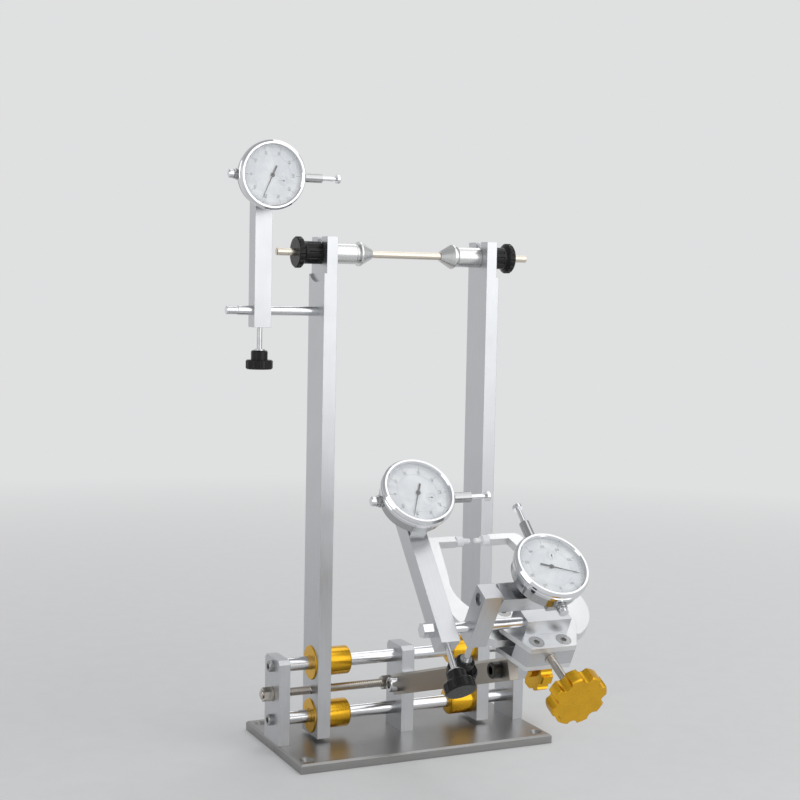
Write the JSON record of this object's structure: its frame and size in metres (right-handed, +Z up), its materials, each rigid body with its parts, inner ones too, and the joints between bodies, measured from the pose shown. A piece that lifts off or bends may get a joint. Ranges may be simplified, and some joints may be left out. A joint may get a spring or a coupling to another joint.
{
  "type": "bicycle wheel truing stand",
  "caption": "Bench stand with twin uprights on guide rods, a cone axle for the wheel hub, a swing arm with rim callipers, and dial gauges for side and round run-out.",
  "frame": {"origin": "centre of the base plate's underside", "axes": "+X along the guide rods towards the gold knob, +Y away from the swing arm, +Z up"},
  "size_m": [0.3217, 0.3826, 0.5228],
  "materials": {
    "aluminium": "brushed satin",
    "gold": "gold anodised",
    "steel": "turned",
    "chrome": "polished",
    "dark_steel": "blackened",
    "black_plastic": "moulded",
    "nylon": "turned",
    "case": "polished, with a white printed dial",
    "glass": "clear",
    "hand": "black"
  },
  "bodies": {
    "frame": {"base_plate": "aluminium", "end_plate_left": "aluminium", "end_plate_right": "aluminium", "centre_post": "aluminium", "guide_rod_lower": "chrome", "guide_rod_upper": "chrome", "frame_screws": "dark_steel"},
    "lead_screw": {"lead_screw": "steel", "lead_screw_nuts": "steel", "lead_screw_knob": "gold"},
    "upright_left": {"upright_left": "aluminium", "bushings_left": "gold", "top_gauge_rod": "chrome"},
    "upright_right": {"upright_right": "aluminium", "bushings_right": "gold"},
    "axle": {"axle_rod": "chrome"},
    "cone_left": {"cone_left": "steel", "sleeve_left": "steel"},
    "cone_right": {"cone_right": "steel", "sleeve_right": "steel"},
    "axle_nut_left": {"axle_nut_left": "black_plastic"},
    "axle_nut_right": {"axle_nut_right": "black_plastic"},
    "swing_arm": {"swing_arm": "aluminium", "arm_pivot_screws": "dark_steel"},
    "yoke": {"yoke_top_plate": "aluminium", "yoke_lower_plate": "aluminium", "yoke_front_block": "aluminium", "tilt_lug": "aluminium", "shaft_block": "aluminium", "gauge_shaft": "chrome", "yoke_screws": "steel"},
    "calliper_left": {"calliper_left": "aluminium", "tip_left": "nylon"},
    "calliper_right": {"calliper_right": "aluminium", "tip_right": "nylon"},
    "adjuster": {"adjuster_screw": "steel", "adjuster_knob": "gold"},
    "spreader": {"spreader_cone": "steel"},
    "rim_head": {"rim_cross_bar": "aluminium", "rim_case": "case"},
    "rim_bar": {"rim_bar": "aluminium"},
    "top_bar": {"top_bar": "aluminium", "top_case": "case"},
    "side_bar": {"side_bar": "aluminium", "side_case": "case"},
    "top_bezel": {"top_bezel": "chrome", "top_glass": "glass"},
    "top_hand": {"top_hand": "hand"},
    "top_plunger": {"top_plunger": "chrome"},
    "top_clamp_knob": {"top_clamp_knob": "black_plastic"},
    "side_bezel": {"side_bezel": "chrome", "side_glass": "glass"},
    "side_hand": {"side_hand": "hand"},
    "side_plunger": {"side_plunger": "chrome"},
    "side_clamp_knob": {"side_clamp_knob": "black_plastic"},
    "rim_bezel": {"rim_bezel": "chrome", "rim_glass": "glass"},
    "rim_hand": {"rim_hand": "hand"},
    "rim_plunger": {"rim_plunger": "chrome"},
    "rim_clamp_knob": {"rim_clamp_knob": "black_plastic"}
  },
  "joints": [
    {"name": "lead_screw_turn", "type": "hinge", "parent": "frame", "child": "lead_screw", "pos_m": [0, 0.0024, 0.05], "axis": [1, 0, 0], "range_deg": [-631, 1351]},
    {"name": "upright_left_slide", "type": "slide", "parent": "frame", "child": "upright_left", "axis": [1, 0, 0], "range_m": [-0.014, 0.03]},
    {"name": "upright_right_slide", "type": "slide", "parent": "frame", "child": "upright_right", "axis": [1, 0, 0], "range_m": [-0.03001, 0.01401]},
    {"name": "axle_spin", "type": "hinge", "parent": "upright_left", "child": "axle", "pos_m": [0, 0.0024, 0.432], "axis": [1, 0, 0], "continuous": true},
    {"name": "cone_left_spin", "type": "hinge", "parent": "upright_left", "child": "cone_left", "pos_m": [-0.05, 0.0024, 0.432], "axis": [1, 0, 0], "continuous": true},
    {"name": "axle_nut_left_spin", "type": "hinge", "parent": "upright_left", "child": "axle_nut_left", "pos_m": [-0.095, 0.0024, 0.432], "axis": [1, 0, 0], "continuous": true},
    {"name": "cone_right_spin", "type": "hinge", "parent": "upright_right", "child": "cone_right", "pos_m": [0.05, 0.0024, 0.432], "axis": [1, 0, 0], "continuous": true},
    {"name": "axle_nut_right_spin", "type": "hinge", "parent": "upright_right", "child": "axle_nut_right", "pos_m": [0.095, 0.0024, 0.432], "axis": [1, 0, 0], "continuous": true},
    {"name": "arm_swing", "type": "hinge", "parent": "frame", "child": "swing_arm", "pos_m": [0, -0.0207, 0.054], "axis": [1, 0, 0], "range_deg": [-25, 15]},
    {"name": "yoke_tilt", "type": "hinge", "parent": "swing_arm", "child": "yoke", "pos_m": [0, -0.20593, 0.11134], "axis": [1, 0, 0], "range_deg": [-15, 15]},
    {"name": "adjuster_turn", "type": "hinge", "parent": "yoke", "child": "adjuster", "pos_m": [0, -0.29354, 0.11613], "axis": [0, 0.887, 0.4617], "range_deg": [-145, 1441]},
    {"name": "spreader_slide", "type": "slide", "parent": "yoke", "child": "spreader", "axis": [0, 0.887, 0.4617], "range_m": [-0.004, 0.0004]},
    {"name": "calliper_left_pivot", "type": "hinge", "parent": "yoke", "child": "calliper_left", "pos_m": [-0.022, -0.22346, 0.1526], "axis": [0, -0.4617, 0.887], "range_deg": [-0.81, 8.01]},
    {"name": "calliper_right_pivot", "type": "hinge", "parent": "yoke", "child": "calliper_right", "pos_m": [0.022, -0.22346, 0.1526], "axis": [0, -0.4617, 0.887], "range_deg": [-8.01, 0.81]},
    {"name": "top_bar_swivel", "type": "hinge", "parent": "upright_left", "child": "top_bar", "pos_m": [-0.1355, 0.0024, 0.3818], "axis": [1, 0, 0], "range_deg": [-20, 20]},
    {"name": "side_bar_swivel", "type": "hinge", "parent": "yoke", "child": "side_bar", "pos_m": [-0.0848, -0.25138, 0.15859], "axis": [1, 0, 0], "range_deg": [-20, 20]},
    {"name": "rim_bar_swivel", "type": "hinge", "parent": "yoke", "child": "rim_bar", "pos_m": [-0.0556, -0.25138, 0.15859], "axis": [1, 0, 0], "range_deg": [-15, 15]},
    {"name": "rim_head_swivel", "type": "hinge", "parent": "rim_bar", "child": "rim_head", "pos_m": [-0.012, -0.26503, 0.1813], "axis": [1, 0, 0], "range_deg": [-15, 15]},
    {"name": "top_clamp_turn", "type": "hinge", "parent": "top_bar", "child": "top_clamp_knob", "pos_m": [-0.1355, 0.0024, 0.34], "axis": [0, 0, 1], "continuous": true},
    {"name": "top_bezel_turn", "type": "hinge", "parent": "top_bar", "child": "top_bezel", "pos_m": [-0.1355, -0.024, 0.494], "axis": [0, -1, 0], "continuous": true},
    {"name": "top_plunger_slide", "type": "slide", "parent": "top_bar", "child": "top_plunger", "axis": [1, 0, 0], "range_m": [-0.01, 0], "stiffness_N_per_m": 60, "springref_m": 0.01},
    {"name": "top_hand_turn", "type": "hinge", "parent": "top_bar", "child": "top_hand", "pos_m": [-0.1355, -0.024, 0.494], "axis": [0, -1, 0], "range_deg": [-3601, 1]},
    {"name": "side_clamp_turn", "type": "hinge", "parent": "side_bar", "child": "side_clamp_knob", "pos_m": [-0.0848, -0.27853, 0.1268], "axis": [0, 0.6494, 0.7604], "continuous": true},
    {"name": "side_bezel_turn", "type": "hinge", "parent": "side_bar", "child": "side_bezel", "pos_m": [-0.0848, -0.2071, 0.25109], "axis": [0, -0.7604, 0.6494], "continuous": true},
    {"name": "side_plunger_slide", "type": "slide", "parent": "side_bar", "child": "side_plunger", "axis": [1, 0, 0], "range_m": [-0.01, 0], "stiffness_N_per_m": 60, "springref_m": 0.01},
    {"name": "side_hand_turn", "type": "hinge", "parent": "side_bar", "child": "side_hand", "pos_m": [-0.0848, -0.2071, 0.25109], "axis": [0, -0.7604, 0.6494], "range_deg": [-3601, 1]},
    {"name": "rim_clamp_turn", "type": "hinge", "parent": "rim_bar", "child": "rim_clamp_knob", "pos_m": [-0.0556, -0.22985, 0.12276], "axis": [0, -0.515, 0.8572], "continuous": true},
    {"name": "rim_bezel_turn", "type": "hinge", "parent": "rim_head", "child": "rim_bezel", "pos_m": [-0.012, -0.27938, 0.20402], "axis": [0, -0.682, 0.7314], "continuous": true},
    {"name": "rim_plunger_slide", "type": "slide", "parent": "rim_head", "child": "rim_plunger", "axis": [0, 0.7314, 0.682], "range_m": [-0.01, 0], "stiffness_N_per_m": 60, "springref_m": 0.01},
    {"name": "rim_hand_turn", "type": "hinge", "parent": "rim_head", "child": "rim_hand", "pos_m": [-0.012, -0.27938, 0.20402], "axis": [0, -0.682, 0.7314], "range_deg": [-3601, 1]}
  ],
  "couplings": [
    {"joint": "lead_screw_turn", "follows": "upright_left_slide", "rad_per_m": 785.4},
    {"joint": "upright_right_slide", "follows": "upright_left_slide", "ratio": -1},
    {"joint": "adjuster_turn", "follows": "spreader_slide", "rad_per_m": -6283.2},
    {"joint": "calliper_left_pivot", "follows": "spreader_slide", "rad_per_m": -34.907},
    {"joint": "calliper_right_pivot", "follows": "spreader_slide", "rad_per_m": 34.907},
    {"joint": "top_hand_turn", "follows": "top_plunger_slide", "rad_per_m": 6283.2},
    {"joint": "side_hand_turn", "follows": "side_plunger_slide", "rad_per_m": 6283.2},
    {"joint": "rim_hand_turn", "follows": "rim_plunger_slide", "rad_per_m": 6283.2}
  ]
}
